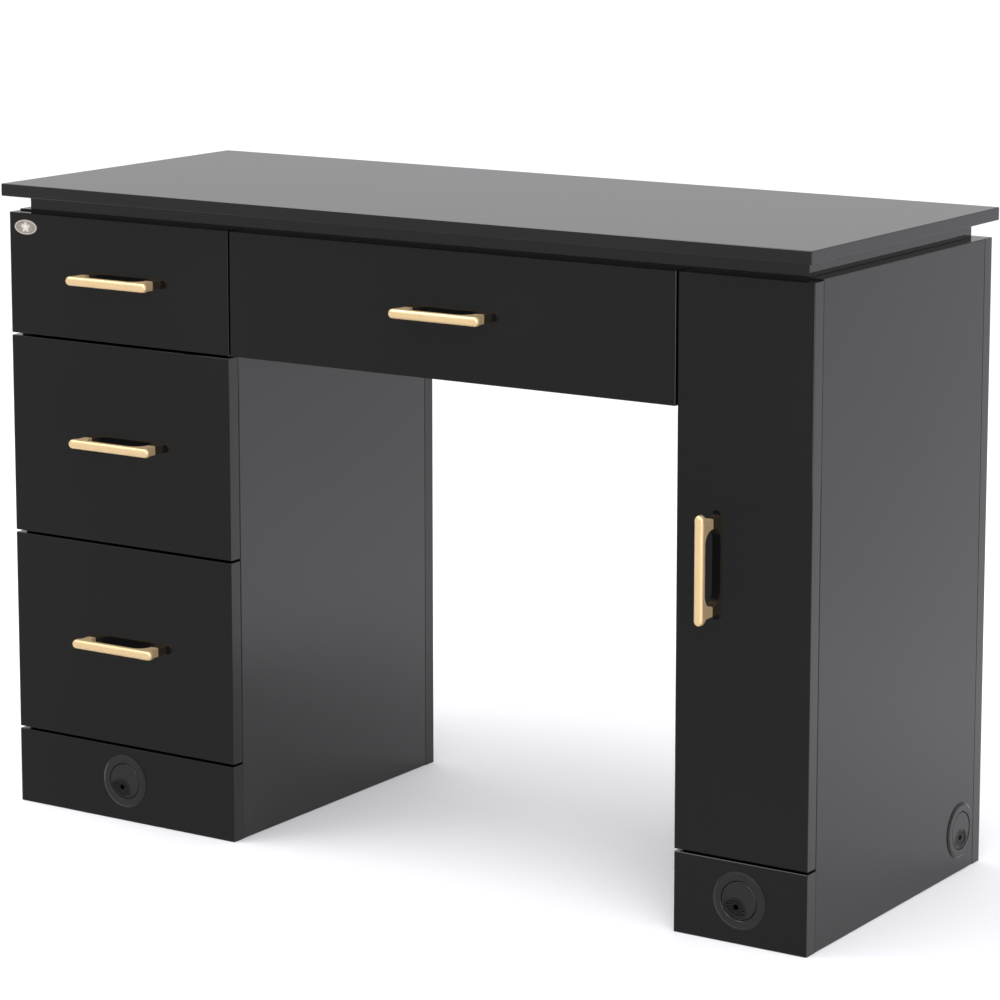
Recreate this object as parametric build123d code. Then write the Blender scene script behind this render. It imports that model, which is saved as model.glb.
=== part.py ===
"""Salon manicure desk: two pedestals, a floating top, four drawers, a cupboard and cable grommets.

Millimetres. +Z is up, the working front faces -Y and +X is to the user's right. The origin is
on the floor, under the centre of the whole desk's footprint, drawer handles included.
"""
import os
from math import cos, radians, sin

from build123d import *

# Overall sizes
HEIGHT = 765.0
TOP_WIDTH = 1100.0
TOP_DEPTH = 445.0
TOP_THICKNESS = 15.0
RISER_HEIGHT = 18.0
CABINET_WIDTH = 1096.0
CABINET_DEPTH = 420.0
LEFT_PEDESTAL_WIDTH = 328.0
RIGHT_PEDESTAL_WIDTH = 165.0
FRONT_OVERHANG = 12.0

# Boards
BOARD = 16.0
FRONT = 18.0
BACK = 18.0
FRONT_GAP = 1.0
REVEAL = 3.0
BEVEL = 0.8

# Levels of the reveals between the fronts
PLINTH_HEIGHT = 91.5
FRONT_TOP = 730.0
LOWER_REVEAL = 337.5
UPPER_REVEAL = 580.5

# Bow handles
HANDLE_LENGTH = 121.0
HANDLE_WIDTH = 11.0
HANDLE_BAR = 8.0
HANDLE_PROJECTION = 24.0
FOOT_SPACING = 96.0
FOOT_LENGTH = 11.5

# Derived positions
PLINTH = FRONT + FRONT_GAP
CARCASS_TOP = HEIGHT - TOP_THICKNESS - RISER_HEIGHT
FOOTPRINT_DEPTH = TOP_DEPTH + HANDLE_PROJECTION - FRONT_OVERHANG
Y_FACE = HANDLE_PROJECTION - FOOTPRINT_DEPTH / 2
Y_CARCASS = Y_FACE + PLINTH
Y_REAR = Y_FACE + CABINET_DEPTH
Y_INNER_BACK = Y_REAR - BACK
X_LEFT = -CABINET_WIDTH / 2
X_RIGHT = CABINET_WIDTH / 2
X_KNEE_LEFT = X_LEFT + LEFT_PEDESTAL_WIDTH
X_KNEE_RIGHT = X_RIGHT - RIGHT_PEDESTAL_WIDTH

# Drawer boxes and their slides
BOX_SIDE = 12.0
BOX_BOTTOM = 5.0
BOX_LENGTH = 349.5
GROOVE_HEIGHT = 10.0
GROOVE_DEPTH = 5.0
FIT = 0.1
SLIDE_ROOM = 12.7
RAIL_WALL = 1.2
RAIL_HEIGHT = 35.0
RAIL_DEPTH = 10.0
RAIL_LENGTH = 345.0
RAIL_CLEARANCE = 1.5
RUNNER_DEPTH = 9.7

# Door hinges
PIVOT_EDGE = 3.0
CUP_RADIUS = 17.4
CUP_EDGE = 21.5
CUP_DEPTH = 11.0
HINGE_LEVELS = (185.0, 640.0)
SHELF_LEVEL = 400.0

# Cable grommets
GROMMET_HOLE = 30.0
FLANGE_RADIUS = 32.5
FLANGE_HEIGHT = 2.0
CAP_RADIUS = 21.5
GROMMET_LEVEL = 49.5
SIDE_GROMMET_INSET = 53.0
LENS_RADIUS = 20.0
LENS_CUT_RADIUS = 15.4
LENS_CUT_OFFSET = 13.6
LENS_CENTRE = 8.9
CABLE_HOLE = 3.1
SLIT_COUNT = 18
SLIT_START = 2.0
FRONT_OUTLET_TURN = -27.0

nodes = {}


def board(x, y, z, eased=""):
    """Board between (low, high) ranges, with small bevels round each face named in eased."""
    centre = Pos((x[0] + x[1]) / 2, (y[0] + y[1]) / 2, (z[0] + z[1]) / 2)
    block = centre * Box(x[1] - x[0], y[1] - y[0], z[1] - z[0])
    faces = {
        "left": ("X", x[0]), "right": ("X", x[1]),
        "front": ("Y", y[0]), "back": ("Y", y[1]),
        "bottom": ("Z", z[0]), "top": ("Z", z[1]),
    }
    planes = [faces[name] for name in eased.split()]
    edges = [
        edge for edge in block.edges()
        if any(abs(getattr(edge.center(), axis) - level) < 1e-6 for axis, level in planes)
    ]
    return chamfer(edges, BEVEL) if edges else block


def outward_plane(x, y, z, normal, along):
    """Plane on a face: local Z leaves the face and local X runs along it."""
    return Plane(origin=(x, y, z), x_dir=along, z_dir=normal)


def front_plane(x, z, along=(1, 0, 0)):
    """Plane on the desk's front face."""
    return outward_plane(x, Y_FACE, z, (0, -1, 0), along)


def corners(sketch, x, y):
    """Vertices of a sketch at plus and minus x, at height y."""
    return [v for v in sketch.vertices() if abs(abs(v.X) - x) < 1e-4 and abs(v.Y - y) < 1e-4]


# Table top and the recessed riser frame, mitred at its corners, that makes it float

def build_top():
    y_top = Y_FACE - FRONT_OVERHANG
    nodes["table_top"] = board(
        (-TOP_WIDTH / 2, TOP_WIDTH / 2), (y_top, y_top + TOP_DEPTH), (HEIGHT - TOP_THICKNESS, HEIGHT),
        "top bottom left right",
    )
    side_inset = 17.5
    rail = 50.0
    x0 = X_LEFT + side_inset
    x1 = X_RIGHT - side_inset
    y0 = Y_CARCASS
    y1 = Y_INNER_BACK
    outer = ((x0, y0), (x1, y0), (x1, y1), (x0, y1))
    inner = ((x0 + rail, y0 + rail), (x1 - rail, y0 + rail), (x1 - rail, y1 - rail), (x0 + rail, y1 - rail))
    for index, side in enumerate(("front", "right", "back", "left")):
        after = (index + 1) % len(outer)
        outline = Polyline(outer[index], outer[after], inner[after], inner[index], close=True)
        nodes[f"riser_{side}"] = extrude(Pos(0, 0, CARCASS_TOP) * make_face(outline), RISER_HEIGHT)


# Carcass

def grommet_bore(plane):
    """Cutter for a grommet's hole through one board."""
    return plane.location * Cylinder(GROMMET_HOLE, 4 * PLINTH)


def build_pedestal(name, x, outer_on_left):
    """Two sides, back, bottom board and plinth between the x range of one pedestal."""
    depth = (Y_CARCASS, Y_INNER_BACK)
    left_height = CARCASS_TOP if outer_on_left else CARCASS_TOP - BOARD
    right_height = CARCASS_TOP - BOARD if outer_on_left else CARCASS_TOP
    left, right = ("outer", "inner") if outer_on_left else ("inner", "outer")
    nodes[f"{name}_{left}_side"] = board((x[0], x[0] + BOARD), depth, (0, left_height), "left")
    nodes[f"{name}_{right}_side"] = board((x[1] - BOARD, x[1]), depth, (0, right_height), "right")
    nodes[f"{name}_back"] = board(x, (Y_INNER_BACK, Y_REAR), (0, CARCASS_TOP), "back")
    nodes[f"{name}_bottom"] = board(
        (x[0] + BOARD, x[1] - BOARD), depth, (PLINTH_HEIGHT - BOARD, PLINTH_HEIGHT)
    )
    plinth = board(x, (Y_FACE, Y_CARCASS), (0, PLINTH_HEIGHT), "front")
    nodes[f"{name}_plinth"] = plinth - grommet_bore(front_plane(sum(x) / 2, GROMMET_LEVEL))


def build_carcass():
    build_pedestal("left", (X_LEFT, X_KNEE_LEFT), True)
    build_pedestal("right", (X_KNEE_RIGHT, X_RIGHT), False)
    nodes["right_outer_side"] = nodes["right_outer_side"] - grommet_bore(side_grommet_plane())
    nodes["carcass_top"] = board(
        (X_LEFT + BOARD, X_RIGHT - BOARD), (Y_CARCASS, Y_INNER_BACK), (CARCASS_TOP - BOARD, CARCASS_TOP)
    )
    nodes["centre_back"] = board(
        (X_KNEE_LEFT, X_KNEE_RIGHT), (Y_INNER_BACK, Y_REAR), (UPPER_REVEAL + REVEAL, CARCASS_TOP), "back"
    )


def build_shelf():
    gap = 0.5
    setback = 35.0
    pin_radius = 2.5
    pin_reach = 8.0
    pin_inset = 45.0
    x0 = X_KNEE_RIGHT + BOARD
    x1 = X_RIGHT - BOARD
    y0 = Y_CARCASS + setback
    nodes["shelf"] = board((x0 + gap, x1 - gap), (y0, Y_INNER_BACK - gap), (SHELF_LEVEL, SHELF_LEVEL + BOARD))
    pins = []
    for x in (x0, x1):
        for y in (y0 + pin_inset, Y_INNER_BACK - pin_inset):
            pin = Rot(0, 90, 0) * Cylinder(pin_radius, 2 * pin_reach)
            pins.append(Pos(x, y, SHELF_LEVEL - pin_radius) * pin)
    nodes["shelf_pins"] = Compound(children=pins)


# Bow handle, drawn with the bar along local X and the panel at local Z = 0

def bow_handle():
    bar_back = HANDLE_PROJECTION - HANDLE_BAR
    inner = (FOOT_SPACING - FOOT_LENGTH) / 2
    outer = (FOOT_SPACING + FOOT_LENGTH) / 2
    inner_curve = 15.0
    outer_curve = 5.0
    front_curve = 4.2
    side_curve = 1.2
    outline = Pos(0, bar_back + HANDLE_BAR / 2) * Rectangle(HANDLE_LENGTH, HANDLE_BAR)
    for side in (-1, 1):
        outline += Pos(side * FOOT_SPACING / 2, bar_back / 2) * Rectangle(FOOT_LENGTH, bar_back)
    outline = fillet(corners(outline, inner, bar_back), inner_curve)
    outline = fillet(corners(outline, outer, bar_back), outer_curve)
    bow = extrude(Plane.XZ * outline, HANDLE_WIDTH / 2, both=True)
    bow &= extrude(SlotOverall(HANDLE_LENGTH, HANDLE_WIDTH), HANDLE_PROJECTION)
    bow = fillet(bow.faces().sort_by(Axis.Z)[-1].edges(), front_curve)
    flanks = bow.faces().filter_by(GeomType.PLANE).filter_by(Axis.Y)
    rims = [
        edge for edge in flanks.edges()
        if edge.center().Z > 1 and edge.center().Z < HANDLE_PROJECTION - front_curve - 0.1
    ]
    return fillet(rims, side_curve)


def handle_screws(thickness):
    """Two machine screws through a front, with their heads behind it."""
    shank_radius = 2.0
    head_radius = 4.0
    head = 2.6
    bite = 8.0
    screws = []
    for side in (-1, 1):
        shank = extrude(Pos(0, 0, -thickness) * Circle(shank_radius), thickness + bite)
        screw = shank + extrude(Pos(0, 0, -thickness - head) * Circle(head_radius), head)
        screws.append(Pos(side * FOOT_SPACING / 2, 0, 0) * screw)
    return screws


def add_handle(prefix, plane):
    nodes[f"{prefix}_handle"] = plane.location * bow_handle()
    nodes[f"{prefix}_handle_screws"] = Compound(children=[plane.location * s for s in handle_screws(FRONT)])


# Drawers

def channel(x_wall, x_lip, y, z_mid, height):
    """U-shaped steel rail: its web lies against x_wall and its flanges reach to x_lip."""
    toward = 1 if x_lip > x_wall else -1
    x_web = sorted((x_wall, x_wall + toward * RAIL_WALL))
    x_all = sorted((x_wall, x_lip))
    low = z_mid - height / 2
    high = z_mid + height / 2
    rail = board(x_web, y, (low, high))
    rail += board(x_all, y, (low, low + RAIL_WALL))
    rail += board(x_all, y, (high - RAIL_WALL, high))
    return rail


def build_drawer(name, x_front, z_front, x_bay, side_height):
    """Front, box, handle and runners of one drawer, and its two cabinet rails."""
    base_lift = 12.5
    box_x = (x_bay[0] + SLIDE_ROOM, x_bay[1] - SLIDE_ROOM)
    y = (Y_FACE + FRONT, Y_FACE + FRONT + BOX_LENGTH)
    z0 = z_front[0] + base_lift
    nodes[f"{name}_front"] = board(x_front, (Y_FACE, Y_FACE + FRONT), z_front, "front")
    panel_z = (z0 + GROOVE_HEIGHT, z0 + GROOVE_HEIGHT + BOX_BOTTOM)
    inner_x = (box_x[0] + BOX_SIDE, box_x[1] - BOX_SIDE)
    groove = board(
        (inner_x[0] - GROOVE_DEPTH, inner_x[1] + GROOVE_DEPTH), y, (panel_z[0] - FIT, panel_z[1] + FIT)
    )
    left = board((box_x[0], inner_x[0]), y, (z0, z0 + side_height))
    right = board((inner_x[1], box_x[1]), y, (z0, z0 + side_height))
    nodes[f"{name}_sides"] = Compound(children=[left - groove, right - groove])
    nodes[f"{name}_back"] = board(inner_x, (y[1] - BOX_SIDE, y[1]), (panel_z[1], z0 + side_height))
    tongue = GROOVE_DEPTH - FIT
    nodes[f"{name}_bottom"] = board((inner_x[0] - tongue, inner_x[1] + tongue), y, panel_z)
    add_handle(name, front_plane(sum(x_front) / 2, sum(z_front) / 2))
    return build_slides(name, x_bay, box_x, z0 + side_height / 2)


def build_slides(name, x_bay, box_x, z_mid):
    """Runners on the drawer box; returns the matching rails on the cabinet."""
    start = Y_CARCASS + 3.5
    y = (start, start + RAIL_LENGTH)
    runner_height = RAIL_HEIGHT - 2 * (RAIL_WALL + RAIL_CLEARANCE)
    rails = []
    runners = []
    for side, x_wall, x_box in ((1, x_bay[0], box_x[0]), (-1, x_bay[1], box_x[1])):
        rails.append(channel(x_wall, x_wall + side * RAIL_DEPTH, y, z_mid, RAIL_HEIGHT))
        runners.append(channel(x_box, x_box - side * RUNNER_DEPTH, y, z_mid, runner_height))
    nodes[f"{name}_runners"] = Compound(children=runners)
    return rails


def build_drawers():
    left_front = (X_LEFT, X_KNEE_LEFT)
    left_bay = (X_LEFT + BOARD, X_KNEE_LEFT - BOARD)
    centre_front = (X_KNEE_LEFT + REVEAL, X_KNEE_RIGHT - REVEAL)
    knee_bay = (X_KNEE_LEFT, X_KNEE_RIGHT)
    shallow = 100.0
    deep = 175.0
    upper = (UPPER_REVEAL + REVEAL, FRONT_TOP)
    middle = (LOWER_REVEAL + REVEAL, UPPER_REVEAL)
    lower = (PLINTH_HEIGHT + REVEAL, LOWER_REVEAL)
    rails = build_drawer("top_drawer", left_front, upper, left_bay, shallow)
    rails += build_drawer("middle_drawer", left_front, middle, left_bay, deep)
    rails += build_drawer("bottom_drawer", left_front, lower, left_bay, deep)
    rails += build_drawer("centre_drawer", centre_front, upper, knee_bay, shallow)
    nodes["slide_rails"] = Compound(children=rails)


# Cupboard door on two cup hinges

def build_door():
    cup_x = X_RIGHT - CUP_EDGE
    z = (PLINTH_HEIGHT + REVEAL, FRONT_TOP)
    y_back = Y_FACE + FRONT
    bore_depth = CUP_DEPTH + FIT
    handle_inset = 40.2
    panel = board((X_KNEE_RIGHT, X_RIGHT), (Y_FACE, y_back), z, "front")
    bore = Rot(90, 0, 0) * Cylinder(CUP_RADIUS + FIT, 2 * bore_depth)
    cups = []
    arms = []
    for level in HINGE_LEVELS:
        panel -= Pos(cup_x, y_back, level) * bore
        seat = outward_plane(cup_x, y_back, level, (0, 1, 0), (0, 0, 1))
        cups.append(seat.location * hinge_cup())
        arms.append(hinge_arm(level))
    nodes["door_panel"] = panel
    nodes["hinge_cups"] = Compound(children=cups)
    nodes["hinge_arms"] = Compound(children=arms)
    add_handle("door", front_plane(X_KNEE_RIGHT + handle_inset, sum(z) / 2, (0, 0, 1)))


def hinge_cup():
    """Pressed cup with a thin rim and a short link, mouth along local +Z."""
    wall = 1.5
    rim = 0.5
    rim_width = 2.0
    link_reach = 14.0
    link_width = 10.0
    link_near = 8.0
    link_far = 15.5
    cup = extrude(Pos(0, 0, -CUP_DEPTH) * Circle(CUP_RADIUS), CUP_DEPTH)
    cup += extrude(Circle(CUP_RADIUS + rim_width), rim)
    cup -= extrude(Pos(0, 0, wall - CUP_DEPTH) * Circle(CUP_RADIUS - wall), CUP_DEPTH + rim)
    link_length = CUP_DEPTH - wall + link_reach
    link = Box(link_width, link_far - link_near, link_length)
    cup += Pos(0, -(link_near + link_far) / 2, wall - CUP_DEPTH + link_length / 2) * link
    return cup


def hinge_arm(level):
    """Mounting plate and arm on the outer side's inner face."""
    x_face = X_RIGHT - BOARD
    plate_start = Y_CARCASS + 25
    arm = board((x_face - 2.5, x_face), (plate_start, plate_start + 50), (level - 22, level + 22))
    arm += board((x_face - 12.5, x_face - 2.5), (Y_CARCASS + 1, plate_start + 45), (level - 6, level + 6))
    return arm


# Cable grommets, drawn with the board's face at local Z = 0 and local Y pointing up

def side_grommet_plane():
    return outward_plane(X_RIGHT, Y_REAR - SIDE_GROMMET_INSET, GROMMET_LEVEL, (1, 0, 0), (0, 1, 0))


def grommet_ring(depth):
    """Flanged tube with an inner ledge that carries the turning cap."""
    tube = GROMMET_HOLE - 0.3
    tube_inner = 27.5
    mouth = CAP_RADIUS + 0.7
    ledge = LENS_RADIUS + 0.2
    section = Polyline(
        (ledge, -4.5), (ledge, -2.5), (mouth, -2.5), (mouth, 1.5), (mouth + 0.5, FLANGE_HEIGHT),
        (FLANGE_RADIUS - 3, FLANGE_HEIGHT), (FLANGE_RADIUS, 0.6), (FLANGE_RADIUS, 0), (tube, 0),
        (tube, -depth), (tube_inner, -depth), (tube_inner, -4.5), close=True,
    )
    return revolve(Plane.XZ * make_face(section), Axis.Z)


def outlet_lens(margin):
    """Off-centre outlet: the overlap of two circles, drawn in by a margin, towards local -Y."""
    return Circle(LENS_RADIUS - margin) & Pos(0, -LENS_CUT_OFFSET) * Circle(LENS_CUT_RADIUS - margin)


def grommet_cap(turn):
    """Turning cap with a lens-shaped outlet closed by flexible fingers, parted by wedge slits."""
    under = -2.2
    face = 1.6
    web = 1.2
    cap = extrude(Pos(0, 0, under) * Circle(CAP_RADIUS), face - under)
    cap = chamfer(cap.faces().sort_by(Axis.Z)[-1].edges(), 0.5)
    trench = outlet_lens(0.2) - outlet_lens(1.2)
    cap -= extrude(Pos(0, 0, face - 0.8) * trench, 1)
    cap -= extrude(Pos(0, 0, face - 0.6) * outlet_lens(2.2), 1)
    cap -= extrude(Pos(0, 0, under) * outlet_lens(2.2), face - 0.6 - web - under)
    near = SLIT_START * radians(90 / SLIT_COUNT)
    reach = 2 * CAP_RADIUS
    far = reach * radians(90 / SLIT_COUNT)
    slit = make_face(Polyline((near, SLIT_START), (far, reach), (-far, reach), (-near, SLIT_START), close=True))
    for index in range(SLIT_COUNT):
        slot = outlet_lens(2.6) & (Pos(0, -LENS_CENTRE) * Rot(0, 0, 360 * index / SLIT_COUNT) * slit)
        cap -= extrude(Pos(0, 0, 2 * under) * slot, 4 * CAP_RADIUS)
    cap -= Pos(0, -LENS_CENTRE, 0) * Cylinder(CABLE_HOLE, 4 * CAP_RADIUS)
    return Rot(0, 0, turn) * cap


def build_grommets():
    left_x = (X_LEFT + X_KNEE_LEFT) / 2
    right_x = (X_KNEE_RIGHT + X_RIGHT) / 2
    places = (
        ("left", front_plane(left_x, GROMMET_LEVEL), PLINTH, FRONT_OUTLET_TURN),
        ("right", front_plane(right_x, GROMMET_LEVEL), PLINTH, FRONT_OUTLET_TURN),
        ("side", side_grommet_plane(), BOARD, 0.0),
    )
    for name, plane, thickness, turn in places:
        nodes[f"{name}_grommet_ring"] = plane.location * grommet_ring(thickness - 1)
        nodes[f"{name}_grommet_cap"] = plane.location * grommet_cap(turn)


# Oval badge on the top drawer, with a plain petal motif

def build_badge():
    half_width = 17.4
    half_height = 9.0
    plate = 1.2
    rim = 1.8
    motif = 1.6
    rim_width = 1.5
    petal_centre = 5.5
    petals = 5
    badge = extrude(Ellipse(half_width, half_height), plate)
    ring = Ellipse(half_width, half_height) - Ellipse(half_width - rim_width, half_height - rim_width)
    badge += extrude(ring, rim)
    for index in range(petals):
        angle = 90 + 360 * index / petals
        place = Pos(petal_centre * cos(radians(angle)) * 0.6, petal_centre * sin(radians(angle)) * 0.6)
        badge += extrude(place * Rot(0, 0, angle) * Ellipse(2.3, 1.1), motif)
    left_inset = 26.0
    top_inset = 17.0
    plane = front_plane(X_LEFT + left_inset, FRONT_TOP - top_inset)
    nodes["badge"] = plane.location * badge


build_top()
build_carcass()
build_shelf()
build_drawers()
build_door()
build_grommets()
build_badge()

os.makedirs("parts", exist_ok=True)
for node_name, shape in nodes.items():
    export_step(shape, f"parts/{node_name}.step")
print(len(nodes), "nodes")
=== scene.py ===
"""Looks of a gloss-black salon manicure desk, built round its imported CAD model. Metres."""
from math import atan2, cos, exp, hypot, pi, radians, sin

import bmesh
import bpy
from mathutils import Matrix, Vector


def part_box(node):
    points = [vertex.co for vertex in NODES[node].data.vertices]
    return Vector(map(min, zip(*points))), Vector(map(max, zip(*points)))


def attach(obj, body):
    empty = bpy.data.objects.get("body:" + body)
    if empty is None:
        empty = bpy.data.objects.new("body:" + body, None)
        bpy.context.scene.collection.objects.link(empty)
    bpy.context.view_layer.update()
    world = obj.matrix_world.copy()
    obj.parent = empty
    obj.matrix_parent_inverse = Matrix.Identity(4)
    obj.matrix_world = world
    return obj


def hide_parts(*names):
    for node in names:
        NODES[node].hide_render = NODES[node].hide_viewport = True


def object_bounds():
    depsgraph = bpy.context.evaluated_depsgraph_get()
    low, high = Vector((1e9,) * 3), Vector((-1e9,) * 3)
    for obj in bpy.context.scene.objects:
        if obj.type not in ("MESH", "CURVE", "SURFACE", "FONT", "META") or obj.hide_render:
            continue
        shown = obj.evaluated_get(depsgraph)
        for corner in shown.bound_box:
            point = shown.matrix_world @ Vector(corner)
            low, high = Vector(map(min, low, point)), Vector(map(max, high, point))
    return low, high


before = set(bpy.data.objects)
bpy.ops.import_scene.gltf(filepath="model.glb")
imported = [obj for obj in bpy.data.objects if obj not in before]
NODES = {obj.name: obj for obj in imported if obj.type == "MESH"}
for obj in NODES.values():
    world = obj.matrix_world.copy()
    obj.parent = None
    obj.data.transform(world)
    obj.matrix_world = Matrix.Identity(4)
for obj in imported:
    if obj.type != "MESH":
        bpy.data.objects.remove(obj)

CAD_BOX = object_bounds()

# Camera
CAMERA_PLACE = (2.3352, -3.5288, 1.2734)
CAMERA_AZIMUTH = 33.243
CAMERA_ELEVATION = 9.193
CAMERA_LENS = 131.7
CAMERA_SHIFT = -0.155

# Studio
FLOOR_RADIUS = 60.0
FLOOR_COLOUR = (0.82, 0.81, 0.83)
HORIZON_LIGHT = 0.50
ZENITH_LIGHT = 1.75
DOME_COLOUR = (1.0, 1.0, 1.02, 1)
SIDE_FALL = 0.15
FRONT_CARD_LIGHT = 0.78
FRONT_CARD_BRIGHT = 1.2
FRONT_CARD_REACH = 9.0
FRONT_CARD_TURN = (0.95, 2.2)
FRONT_CARD_GAP = 0.0005
FRONT_CARD_LIFT = 0.0006

# Lights: place, target, width and height, watts
LIGHTS = {
    "key_light": ((1.6, -2.2, 2.6), (0, 0, 0.4), (1.6, 1.2), 30.0),
    "edge_light": ((2.6, -1.55, 0.7), (0.55, -0.2, 0.5), (0.7, 1.4), 13.0),
    "top_light": ((-1.2, -0.6, 2.8), (-0.1, -0.1, 0.7), (1.8, 1.2), 40.0),
}

# Boards: index of the lacquer where it differs, and how far edges are eased
FRONT_GLOSS = 1.31
BOARD_GLOSS = 1.42
# Lit and shaded copies of the lacquer, as painted light: the knee side reflects more to lift its shade, the
# right side less to dim it.
PAINTED_LIGHT_GLOSS = {"left_inner_side": 1.50, "right_outer_side": 1.39}
SOFT_EDGE = 0.00035
SHARP_ANGLE = radians(30)


# Node materials

class Finish:
    """A Principled material, with short calls for the nodes that feed it."""

    def __init__(self, name, **sockets):
        self.material = bpy.data.materials.new(name)
        self.material.use_nodes = True
        self.tree = self.material.node_tree
        self.shader = self.tree.nodes["Principled BSDF"]
        coordinates = self.add("ShaderNodeTexCoord")
        self.place = coordinates.outputs["Object"]
        self.facing = coordinates.outputs["Normal"]
        self.feed(**sockets)

    def feed(self, **sockets):
        """Sets or links the shader's sockets: base_color=... is Base Color."""
        for name, value in sockets.items():
            socket = self.shader.inputs[name.replace("_", " ").title().replace("Ior", "IOR")]
            self.plug(socket, value)

    def plug(self, socket, value):
        if isinstance(value, bpy.types.NodeSocket):
            self.tree.links.new(value, socket)
        else:
            socket.default_value = value

    def add(self, kind, inputs=(), **settings):
        node = self.tree.nodes.new(kind)
        for name, value in settings.items():
            setattr(node, name, value)
        for name, value in dict(inputs).items():
            self.plug(node.inputs[name], value)
        return node

    def stretched(self, scale):
        """Object coordinates, scaled differently along X, Y and Z."""
        return self.add("ShaderNodeMapping", {"Vector": self.place, "Scale": scale}).outputs[0]

    def noise(self, scale, detail=2.0, place=None, distortion=0.0):
        inputs = {"Vector": place or self.place, "Scale": scale, "Detail": detail, "Distortion": distortion}
        return self.add("ShaderNodeTexNoise", inputs).outputs[0]

    def cells(self, scale, place=None):
        """Distance to the nearest point of a scattered set."""
        inputs = {"Vector": place or self.place, "Scale": scale}
        return self.add("ShaderNodeTexVoronoi", inputs).outputs["Distance"]

    def spread(self, socket, low, high, start=0.0, end=1.0):
        """A value moved from the range start..end to low..high, and held there."""
        inputs = {"Value": socket, "From Min": start, "From Max": end, "To Min": low, "To Max": high}
        return self.add("ShaderNodeMapRange", inputs).outputs[0]

    def maths(self, operation, first, second):
        return self.add("ShaderNodeMath", {0: first, 1: second}, operation=operation).outputs[0]

    def blend(self, share, first, second):
        """Colour between first and second."""
        inputs = {0: share, 6: first, 7: second}
        return self.add("ShaderNodeMix", inputs, data_type="RGBA").outputs[2]

    def bump(self, height, strength, distance, under=None):
        inputs = {"Height": height, "Strength": strength, "Distance": distance}
        if under:
            inputs["Normal"] = under
        return self.add("ShaderNodeBump", inputs).outputs[0]


def grey(value, warmth=0.0):
    return (value * (1 + warmth), value, value * (1 - warmth), 1)


def gloss_lacquer(name, face_ior, band_ior=BOARD_GLOSS):
    """Black high-gloss film on board: slight orange peel, wiping haze and rare dust.
    The face turned to the front has its own gloss; the edge bands keep the common one."""
    finish = Finish(name)
    facing = finish.add("ShaderNodeSeparateXYZ", {0: finish.facing}).outputs["Y"]
    finish.feed(ior=finish.spread(finish.maths("MULTIPLY", facing, facing), band_ior, face_ior, 0.3, 0.7))
    tone = finish.spread(finish.noise(3.0, 3.0), 0, 1, 0.3, 0.7)
    dust = finish.spread(finish.cells(70.0), 1, 0, 0.02, 0.035)
    haze = finish.noise(6.0, 4.0, finish.stretched((1.0, 1.0, 0.35)), 0.6)
    film = finish.blend(tone, (0.0036, 0.0038, 0.0042, 1), (0.0058, 0.0052, 0.0056, 1))
    roughness = finish.spread(haze, 0.035, 0.085, 0.3, 0.75)
    peel = finish.bump(finish.noise(260.0, 1.0), 0.05, 0.0003)
    finish.feed(
        base_color=finish.blend(dust, film, grey(0.03)),
        roughness=finish.maths("ADD", roughness, finish.maths("MULTIPLY", dust, 0.2)),
        normal=finish.bump(dust, 0.05, 0.0001, peel),
    )
    return finish.material


def matt_melamine():
    """Black pearl-texture melamine of the drawer boxes."""
    finish = Finish("matt_black_melamine", ior=1.5)
    grain = finish.noise(1400.0, 3.0)
    cloud = finish.noise(12.0, 3.0)
    finish.feed(
        base_color=finish.blend(cloud, grey(0.022), grey(0.034)),
        roughness=finish.spread(grain, 0.42, 0.6),
        normal=finish.bump(grain, 0.35, 0.0002),
    )
    return finish.material


def satin_gold(name, scale):
    """Satin gold plate with a fine grain; scale stretches it along the bar."""
    finish = Finish(name, metallic=0.65, ior=1.5)
    grain = finish.noise(1.0, 4.0, finish.stretched(scale))
    cloud = finish.noise(45.0, 2.0)
    finish.feed(
        base_color=finish.blend(cloud, (0.76, 0.55, 0.29, 1), (0.82, 0.61, 0.35, 1)),
        roughness=finish.spread(grain, 0.34, 0.46, 0.3, 0.7),
        normal=finish.bump(grain, 0.12, 0.0001),
    )
    return finish.material


def plated(name, colour, low, high):
    """Plated steel with a mottled sheen and faint rub marks."""
    finish = Finish(name, metallic=1.0)
    mottle = finish.noise(160.0, 4.0)
    rubs = finish.noise(1.0, 3.0, finish.stretched((900.0, 60.0, 900.0)))
    finish.feed(
        base_color=finish.blend(mottle, [0.85 * c for c in colour[:3]] + [1], colour),
        roughness=finish.spread(finish.maths("MULTIPLY", mottle, rubs), low, high, 0.1, 0.4),
        normal=finish.bump(rubs, 0.08, 0.0001),
    )
    return finish.material


def powder_coat():
    """Black powder-coated slide steel."""
    finish = Finish("black_powder_coat", ior=1.5)
    grain = finish.noise(900.0, 3.0)
    finish.feed(
        base_color=finish.blend(finish.noise(40.0), grey(0.020), grey(0.032)),
        roughness=finish.spread(grain, 0.28, 0.42),
        normal=finish.bump(grain, 0.3, 0.0001),
    )
    return finish.material


def moulded_plastic():
    """Black moulded plastic with a fine spark-eroded texture."""
    finish = Finish("moulded_black_plastic", ior=1.4)
    grain = finish.noise(2200.0, 2.0)
    finish.feed(
        base_color=finish.blend(finish.noise(60.0), grey(0.006), grey(0.011)),
        roughness=finish.spread(grain, 0.2, 0.32),
        normal=finish.bump(grain, 0.25, 0.0001),
    )
    return finish.material


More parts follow.
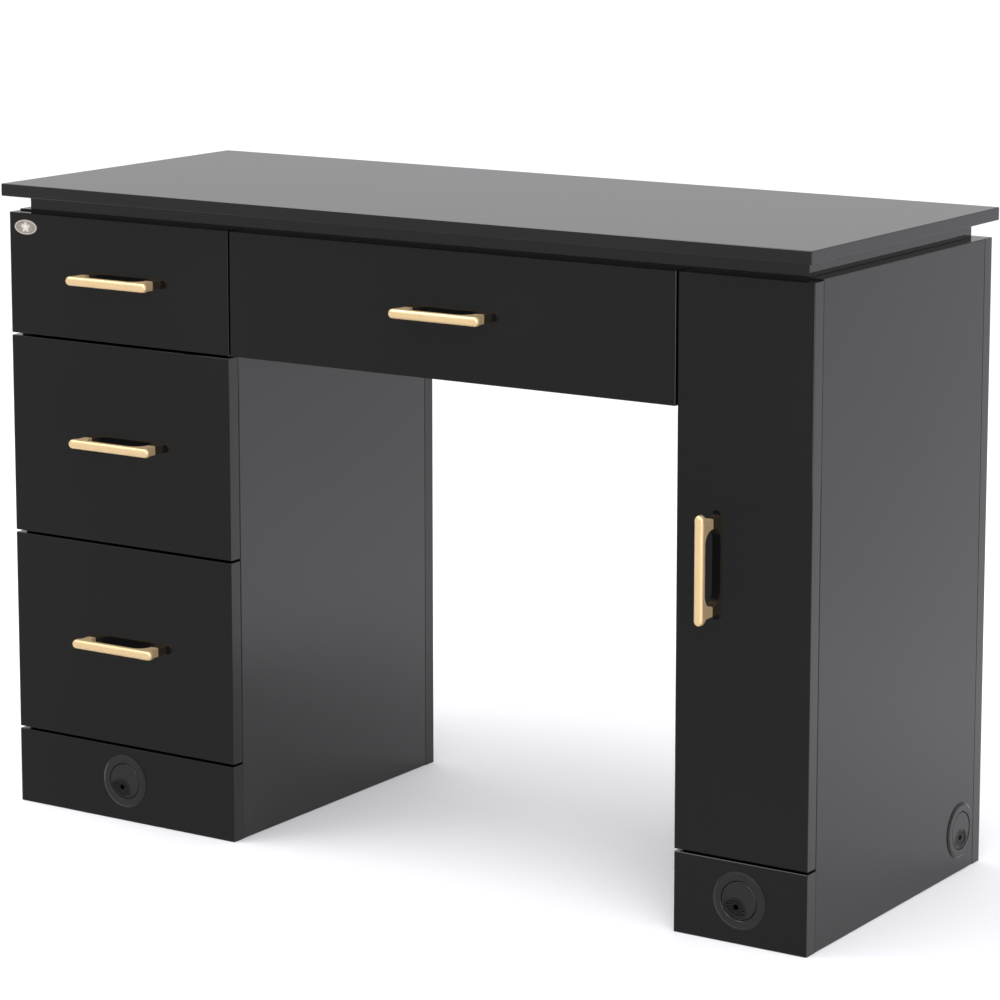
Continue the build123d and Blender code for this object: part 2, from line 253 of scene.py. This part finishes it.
def antique_silver(face):
    """Warm silver, tarnished dark in the hollows; face is the Y of the badge's back."""
    finish = Finish("antique_silver", metallic=0.7)
    depth = finish.add("ShaderNodeSeparateXYZ", {0: finish.place}).outputs["Y"]
    height = finish.maths("SUBTRACT", face, depth)
    raised = finish.spread(height, 0, 1, 0.0010, 0.0017)
    patina = finish.noise(900.0, 3.0)
    share = finish.maths("MULTIPLY", raised, finish.spread(patina, 0.75, 1.0))
    finish.feed(
        base_color=finish.blend(share, (0.24, 0.21, 0.18, 1), (0.92, 0.86, 0.78, 1)),
        roughness=finish.spread(share, 0.45, 0.24),
        normal=finish.bump(patina, 0.2, 0.0001),
    )
    return finish.material


def pale_floor():
    """Plain matt floor with a hardly visible cloud in its tone."""
    finish = Finish("pale_floor", ior=1.4)
    shaded = (*[0.98 * c for c in FLOOR_COLOUR], 1)
    finish.feed(
        base_color=finish.blend(finish.noise(2.0, 4.0), shaded, (*FLOOR_COLOUR, 1)),
        roughness=0.9,
    )
    finish.shader.inputs["Specular IOR Level"].default_value = 0.0
    return finish.material


# CAD nodes: finishes and softened board edges

def soften(node):
    """Welds a board's split corners and rounds its edges a little, shading stays flat on faces."""
    for name in ("sharp_edge", "sharp_face", "custom_normal"):
        attribute = node.data.attributes.get(name)
        if attribute:
            node.data.attributes.remove(attribute)
    weld = node.modifiers.new("weld", "WELD")
    weld.merge_threshold = 1e-6
    bevel = node.modifiers.new("edge", "BEVEL")
    bevel.width = SOFT_EDGE
    bevel.segments = 2
    bevel.limit_method = "ANGLE"
    bevel.angle_limit = SHARP_ANGLE
    normals = node.modifiers.new("normals", "WEIGHTED_NORMAL")
    normals.weight = 100


def dress_nodes():
    """Gives each CAD node the finish of its slot and eases the boards' edges."""
    gold = satin_gold("satin_gold", (60.0, 1500.0, 1500.0))
    badge_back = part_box("badge")[1].y
    finishes = {
        "gloss_board": gloss_lacquer("gloss_black_board", BOARD_GLOSS),
        "drawer_box": matt_melamine(),
        "handle": gold,
        "screw": plated("zinc_plate", (0.78, 0.78, 0.79, 1), 0.2, 0.4),
        "plated_steel": plated("nickel_plate", (0.66, 0.65, 0.63, 1), 0.16, 0.32),
        "slide_steel": powder_coat(),
        "grommet_plastic": moulded_plastic(),
        "badge": antique_silver(badge_back),
    }
    boards = ("gloss_board", "drawer_box")
    for node in NODES.values():
        slot = node.material_slots[0].material.name
        node.material_slots[0].material = finishes[slot]
        if slot in boards:
            soften(node)
    fronts = gloss_lacquer("gloss_black_front", FRONT_GLOSS)
    for name, node in NODES.items():
        if name.endswith(("drawer_front", "plinth")) or name == "door_panel":
            node.material_slots[0].material = fronts
    # Painted light: these boards get copies of the lacquer whose index brightens the knee side and darkens
    # the right side.
    for name, ior in PAINTED_LIGHT_GLOSS.items():
        NODES[name].material_slots[0].material = gloss_lacquer(f"gloss_black_{name}", ior, ior)
    upright_gold = satin_gold("satin_gold_upright", (1500.0, 1500.0, 60.0))
    NODES["door_handle"].material_slots[0].material = upright_gold
    return finishes


# Small pieces

def new_piece(name, mesh, material, body):
    """A finished piece with its material, riding on a CAD body."""
    piece = bpy.data.objects.new(name, mesh)
    bpy.context.scene.collection.objects.link(piece)
    mesh.materials.append(material)
    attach(piece, body)
    return piece


def relief_badge(material):
    """Oval badge with a beaded rim and a five-petal flower, as one relief."""
    low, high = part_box("badge")
    centre = (low + high) / 2
    half = (high - low) / 2
    rings = 40
    spokes = 160
    plate = 0.0010
    camber = 0.0002
    rim_share = 0.90
    rim_spread = 0.05
    rim_height = 0.00045
    beads = 44
    bead_height = 0.00018
    petals = 5
    flower_radius = 0.0074
    petal_root = 0.35
    petal_height = 0.0006
    heart_radius = 0.0014
    heart_height = 0.0004

    def cushion(reach, radius):
        """Height share of a rounded pad, zero from its radius outwards."""
        return max(0.0, 1 - (reach / radius) ** 2) ** 0.5

    def height(share, angle):
        x = half.x * share * cos(angle)
        z = half.z * share * sin(angle)
        reach = hypot(x, z)
        turn = atan2(z, x) - pi / 2
        bead = rim_height + bead_height * cos(beads * angle)
        rim = exp(-((share - rim_share) / rim_spread) ** 2) * bead
        petal = flower_radius * (petal_root + (1 - petal_root) * abs(cos(petals * turn / 2)))
        bloom = cushion(reach, petal) * petal_height
        heart = cushion(reach, heart_radius) * heart_height
        dome = camber * (1 - share ** 2)
        return plate + rim + bloom + heart + dome

    bm = bmesh.new()
    middle = bm.verts.new((centre.x, high.y - height(0, 0), centre.z))
    loops = []
    for ring in range(1, rings + 1):
        share = ring / rings
        loop = []
        for spoke in range(spokes):
            angle = 2 * pi * spoke / spokes
            drop = height(share, angle)
            x = centre.x + half.x * share * cos(angle)
            z = centre.z + half.z * share * sin(angle)
            loop.append(bm.verts.new((x, high.y - drop, z)))
        loops.append(loop)
    back = [bm.verts.new((v.co.x, high.y, v.co.z)) for v in loops[-1]]
    loops.append(back)
    for spoke in range(spokes):
        after = (spoke + 1) % spokes
        bm.faces.new((middle, loops[0][spoke], loops[0][after]))
        for inner, outer in zip(loops, loops[1:]):
            bm.faces.new((inner[spoke], outer[spoke], outer[after], inner[after]))
    bm.faces.new(list(reversed(back)))
    bmesh.ops.recalc_face_normals(bm, faces=bm.faces)
    mesh = bpy.data.meshes.new("badge_relief")
    bm.to_mesh(mesh)
    bm.free()
    mesh.shade_smooth()
    mesh.set_sharp_from_angle(angle=radians(50))
    badge = new_piece("badge_relief", mesh, material, "top_drawer")
    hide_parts("badge")


def screw_template(radius, height):
    """Pan-head screw along +Z with a cross recess, its seat at Z = 0.
    The profile holds shares of the radius and of the height."""
    profile = ((1.0, 0.0), (1.0, 0.35), (0.93, 0.62), (0.75, 0.85), (0.5, 0.96), (0.25, 1.0))
    sides = 32
    bm = bmesh.new()
    loops = []
    for share, level in profile:
        turns = [2 * pi * i / sides for i in range(sides)]
        reach = radius * share
        loops.append([bm.verts.new((reach * cos(t), reach * sin(t), height * level)) for t in turns])
    for lower, upper in zip(loops, loops[1:]):
        for i in range(sides):
            after = (i + 1) % sides
            bm.faces.new((lower[i], lower[after], upper[after], upper[i]))
    bm.faces.new(loops[-1])
    bm.faces.new(list(reversed(loops[0])))
    head = bpy.data.meshes.new("screw_head")
    bm.to_mesh(head)
    bm.free()
    cut = bmesh.new()
    arm = radius * 0.62
    blade = radius * 0.11
    for turn in (0, pi / 2):
        made = bmesh.ops.create_cube(cut, size=1.0)["verts"]
        bmesh.ops.scale(cut, vec=(2 * arm, 2 * blade, height * 1.2), verts=made)
        bmesh.ops.translate(cut, vec=(0, 0, height), verts=made)
        bmesh.ops.rotate(cut, matrix=Matrix.Rotation(turn, 3, "Z"), verts=made)
    recess = bpy.data.meshes.new("recess")
    cut.to_mesh(recess)
    cut.free()
    return carved(head, recess)


def carved(mesh, cutter):
    """The mesh with the cutter's volume taken away."""
    body = bpy.data.objects.new("carving", mesh)
    tool = bpy.data.objects.new("carving_tool", cutter)
    for item in (body, tool):
        bpy.context.scene.collection.objects.link(item)
    cut = body.modifiers.new("cut", "BOOLEAN")
    cut.operation = "DIFFERENCE"
    cut.object = tool
    cut.use_self = True
    bpy.context.view_layer.update()
    result = bpy.data.meshes.new_from_object(body.evaluated_get(bpy.context.evaluated_depsgraph_get()))
    for item in (body, tool):
        bpy.data.objects.remove(item)
    return result


def scattered(name, template, places):
    """One mesh with a copy of the template at each (point, direction, turn) place."""
    bm = bmesh.new()
    for point, direction, turn in places:
        facing = Vector(direction).to_track_quat("Z", "Y").to_matrix().to_4x4()
        matrix = Matrix.Translation(point) @ facing @ Matrix.Rotation(turn, 4, "Z")
        copy = template.copy()
        copy.transform(matrix)
        bm.from_mesh(copy)
        bpy.data.meshes.remove(copy)
    mesh = bpy.data.meshes.new(name)
    bm.to_mesh(mesh)
    bm.free()
    mesh.shade_smooth()
    mesh.set_sharp_from_angle(angle=radians(35))
    return mesh


def islands(node):
    """(low, high) corners of each separate solid in a CAD node."""
    bm = bmesh.new()
    bm.from_mesh(NODES[node].data)
    bmesh.ops.remove_doubles(bm, verts=bm.verts, dist=1e-6)
    found = []
    seen = set()
    for start in bm.verts:
        if start in seen:
            continue
        stack = [start]
        group = []
        seen.add(start)
        while stack:
            vert = stack.pop()
            group.append(vert.co.copy())
            for edge in vert.link_edges:
                other = edge.other_vert(vert)
                if other not in seen:
                    seen.add(other)
                    stack.append(other)
        low = Vector([min(co[i] for co in group) for i in range(3)])
        high = Vector([max(co[i] for co in group) for i in range(3)])
        found.append((low, high))
    bm.free()
    return found


def fasteners(finishes):
    """Screws that hold the slide rails and the hinge plates."""
    head = screw_template(0.0036, 0.0011)
    web = 0.0012
    spacing = (0.06, 0.5, 0.94)
    touching = 1e-4
    places = []
    for low, high in islands("slide_rails"):
        middle = (low.x + high.x) / 2
        board_on_left = any(
            abs(low.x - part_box(side)[1].x) < touching
            for side in ("left_outer_side", "left_inner_side", "right_inner_side")
        )
        x = low.x + web if board_on_left else high.x - web
        direction = (1, 0, 0) if board_on_left else (-1, 0, 0)
        for index, share in enumerate(spacing):
            y = low.y + share * (high.y - low.y)
            places.append(((x, y, (low.z + high.z) / 2), direction, 0.4 + 1.3 * index + middle))
    rails = scattered("slide_rail_screws", head, places)
    new_piece("slide_rail_screws", rails, finishes["screw"], "cabinet")
    for drawer in ("top_drawer", "middle_drawer", "bottom_drawer", "centre_drawer"):
        places = []
        for low, high in islands(f"{drawer}_runners"):
            on_left = (low.x + high.x) / 2 < sum(c.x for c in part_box(f"{drawer}_bottom")) / 2
            x = high.x - web if on_left else low.x + web
            direction = (-1, 0, 0) if on_left else (1, 0, 0)
            for index, share in enumerate(spacing):
                y = low.y + share * (high.y - low.y)
                places.append(((x, y, (low.z + high.z) / 2), direction, 0.9 + 1.7 * index))
        runners = scattered(f"{drawer}_runner_screws", head, places)
        new_piece(f"{drawer}_runner_screws", runners, finishes["screw"], drawer)
    plate_head = screw_template(0.0040, 0.0016)
    plate_thickness = 0.0025
    rear_inset = 0.025
    offset = 0.015
    arm_shares = (0.35, 0.75)
    places = []
    for low, high in islands("hinge_arms"):
        for side in (-1, 1):
            level = (low.z + high.z) / 2 + side * offset
            point = (high.x - plate_thickness, high.y - rear_inset, level)
            places.append((point, (-1, 0, 0), 0.7 + side))
        for share in arm_shares:
            point = (low.x, low.y + share * (high.y - low.y), (low.z + high.z) / 2)
            places.append((point, (-1, 0, 0), 0.3 + share))
    plates = scattered("hinge_screws", plate_head, places)
    new_piece("hinge_screws", plates, finishes["screw"], "cabinet")


# Studio

def floor():
    """Wide round floor at Z = 0."""
    bm = bmesh.new()
    bmesh.ops.create_circle(bm, cap_ends=True, radius=FLOOR_RADIUS, segments=64)
    mesh = bpy.data.meshes.new("floor")
    bm.to_mesh(mesh)
    bm.free()
    mesh.materials.append(pale_floor())
    ground = bpy.data.objects.new("floor", mesh)
    bpy.context.scene.collection.objects.link(ground)


def front_card():
    """Pale grey card on the floor before the desk, seen only in gloss, so that the fronts stay deep black.
    Fanning out from both front corners, it brightens to the floor's own light."""
    low, high = CAD_BOX
    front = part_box("top_drawer_front")[0].y
    reach = FRONT_CARD_REACH
    edge = front - FRONT_CARD_GAP
    bm = bmesh.new()
    outline = ((-reach, front - reach), (reach, front - reach), (reach, edge), (-reach, edge))
    bm.faces.new([bm.verts.new((x, y, FRONT_CARD_LIFT)) for x, y in outline])
    mesh = bpy.data.meshes.new("front_card")
    bm.to_mesh(mesh)
    bm.free()
    finish = Finish("card_glow", base_color=grey(0.0), emission_color=grey(1.0))
    finish.shader.inputs["Specular IOR Level"].default_value = 0.0
    place = finish.add("ShaderNodeSeparateXYZ", {0: finish.place})
    depth = finish.maths("SUBTRACT", front, place.outputs["Y"])
    left = finish.maths("SUBTRACT", low.x, place.outputs["X"])
    right = finish.maths("SUBTRACT", place.outputs["X"], high.x)
    turn = finish.maths("DIVIDE", finish.maths("MAXIMUM", left, right), depth)
    glow = finish.spread(turn, FRONT_CARD_LIGHT, FRONT_CARD_BRIGHT, *FRONT_CARD_TURN)
    finish.feed(emission_strength=glow)
    mesh.materials.append(finish.material)
    card = bpy.data.objects.new("front_card", mesh)
    bpy.context.scene.collection.objects.link(card)
    card.visible_camera = False
    card.visible_diffuse = False
    card.visible_shadow = False
    card.visible_transmission = False
    card.visible_volume_scatter = False


def dome():
    """Soft white dome, brighter overhead and towards the desk's right, behind a plain white backdrop."""
    world = bpy.data.worlds.new("dome")
    bpy.context.scene.world = world
    world.use_nodes = True
    tree = world.node_tree
    background = tree.nodes["Background"]
    direction = tree.nodes.new("ShaderNodeTexCoord").outputs["Generated"]
    split = tree.nodes.new("ShaderNodeSeparateXYZ")
    tree.links.new(direction, split.inputs[0])
    rise = tree.nodes.new("ShaderNodeMapRange")
    tree.links.new(split.outputs["Z"], rise.inputs["Value"])
    rise.inputs["To Min"].default_value = HORIZON_LIGHT
    rise.inputs["To Max"].default_value = ZENITH_LIGHT
    side = tree.nodes.new("ShaderNodeMapRange")
    tree.links.new(split.outputs["X"], side.inputs["Value"])
    side.inputs["From Min"].default_value = -1.0
    side.inputs["To Min"].default_value = 1 - SIDE_FALL
    side.inputs["To Max"].default_value = 1 + SIDE_FALL
    both = tree.nodes.new("ShaderNodeMath")
    both.operation = "MULTIPLY"
    tree.links.new(rise.outputs[0], both.inputs[0])
    tree.links.new(side.outputs[0], both.inputs[1])
    tree.links.new(both.outputs[0], background.inputs["Strength"])
    background.inputs["Color"].default_value = DOME_COLOUR
    backdrop = tree.nodes.new("ShaderNodeBackground")
    backdrop.inputs["Color"].default_value = grey(1.0)
    seen = tree.nodes.new("ShaderNodeLightPath").outputs["Is Camera Ray"]
    mix = tree.nodes.new("ShaderNodeMixShader")
    tree.links.new(seen, mix.inputs[0])
    tree.links.new(background.outputs[0], mix.inputs[1])
    tree.links.new(backdrop.outputs[0], mix.inputs[2])
    tree.links.new(mix.outputs[0], tree.nodes["World Output"].inputs["Surface"])


def softbox(name, place, target, size, watts):
    """Rectangular soft light turned to a target, not seen by the camera."""
    light = bpy.data.lights.new(name, "AREA")
    light.shape = "RECTANGLE"
    light.size = size[0]
    light.size_y = size[1]
    light.energy = watts
    lamp = bpy.data.objects.new(name, light)
    lamp.location = place
    lamp.visible_camera = False
    lamp.rotation_euler = (Vector(target) - Vector(place)).to_track_quat("-Z", "Y").to_euler()
    bpy.context.scene.collection.objects.link(lamp)


def camera():
    data = bpy.data.cameras.new("camera")
    data.lens = CAMERA_LENS
    data.sensor_width = 36.0
    data.shift_y = CAMERA_SHIFT
    data.clip_end = 200.0
    eye = bpy.data.objects.new("camera", data)
    eye.location = CAMERA_PLACE
    eye.rotation_euler = (radians(90 - CAMERA_ELEVATION), 0, radians(CAMERA_AZIMUTH))
    bpy.context.scene.collection.objects.link(eye)
    bpy.context.scene.camera = eye


camera()
floor()
front_card()
dome()
for light_name, setting in LIGHTS.items():
    softbox(light_name, *setting)
bpy.context.scene.view_settings.view_transform = "Standard"
FINISHES = dress_nodes()
relief_badge(FINISHES["badge"])
fasteners(FINISHES)
